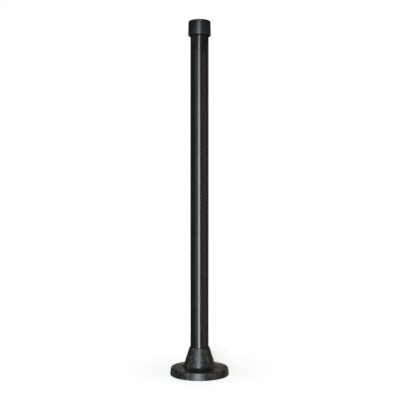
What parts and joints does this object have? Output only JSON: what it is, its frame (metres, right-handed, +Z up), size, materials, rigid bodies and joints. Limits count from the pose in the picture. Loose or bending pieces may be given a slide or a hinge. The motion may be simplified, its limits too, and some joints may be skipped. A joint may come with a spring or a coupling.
{
  "type": "retractable bollard",
  "caption": "Slim round bollard with a wide cap, whose post slides down through a low disc base with a conical collar and locks at either end with a key.",
  "frame": {"origin": "centre of the base's underside, on the ground", "axes": "+Z up along the post; the key lock is towards +Y, the plain front towards -Y"},
  "size_m": [0.1925, 0.1926, 1.1629],
  "materials": {
    "post_paint": "semi-gloss black powder coat",
    "cap_moulding": "fine satin black moulding",
    "cover_moulding": "matt black glass-filled moulding, coarse skin",
    "plate_steel": "zinc-rich grey coat on steel",
    "gasket_rubber": "cut sheet",
    "seal_rubber": "moulded, matt",
    "bush_nylon": "turned natural nylon",
    "plug_nylon": "moulded black nylon",
    "plug_aluminium": "turned",
    "lock_zinc": "die-cast zinc alloy",
    "lock_lid_steel": "zinc-plated sheet",
    "bolt_steel": "ground stainless",
    "spindle_brass": "turned and milled",
    "flap_steel": "black coated stainless",
    "fastener_steel": "bright stainless",
    "fastener_black": "black zinc plate"
  },
  "bodies": {
    "base": {"base_cover": "cover_moulding", "base_plate": "plate_steel", "base_gasket": "gasket_rubber", "guide_tube": "plate_steel", "guide_gussets": "plate_steel", "lower_bush": "bush_nylon", "upper_bush": "bush_nylon", "wiper_seal": "seal_rubber", "lock_housing": "lock_zinc", "lock_lid": "lock_lid_steel", "lock_screws": "fastener_steel", "key_turret": "lock_zinc", "flap_rivet": "fastener_steel"},
    "post": {"post_tube": "post_paint", "foot_ring": "plate_steel", "foot_buffer": "seal_rubber", "foot_plug": "plug_nylon", "head_plug": "plug_aluminium", "cap_sleeve": "plug_nylon", "landing_ring": "seal_rubber", "cap_shell": "cap_moulding", "cap_washer": "fastener_black", "cap_screw": "fastener_black"},
    "lock_bolt": {"lock_bolt": "bolt_steel"},
    "key_spindle": {"key_spindle": "spindle_brass"},
    "key_flap": {"key_flap": "flap_steel"}
  },
  "joints": [
    {"name": "post_slide", "type": "slide", "parent": "base", "child": "post", "axis": [0, 0, 1], "range_m": [-1.028, 0]},
    {"name": "key_turn", "type": "hinge", "parent": "base", "child": "key_spindle", "pos_m": [0.009, 0.06901, 0], "axis": [0, 0, 1], "range_deg": [0, 90]},
    {"name": "bolt_slide", "type": "slide", "parent": "base", "child": "lock_bolt", "axis": [0, -1, 0], "range_m": [0, 0.00942]},
    {"name": "flap_swing", "type": "hinge", "parent": "base", "child": "key_flap", "pos_m": [-0.004, 0.06901, 0], "axis": [0, 0, 1], "range_deg": [0, 110]}
  ],
  "couplings": [
    {"joint": "key_turn", "follows": "bolt_slide", "rad_per_m": 166.67}
  ]
}
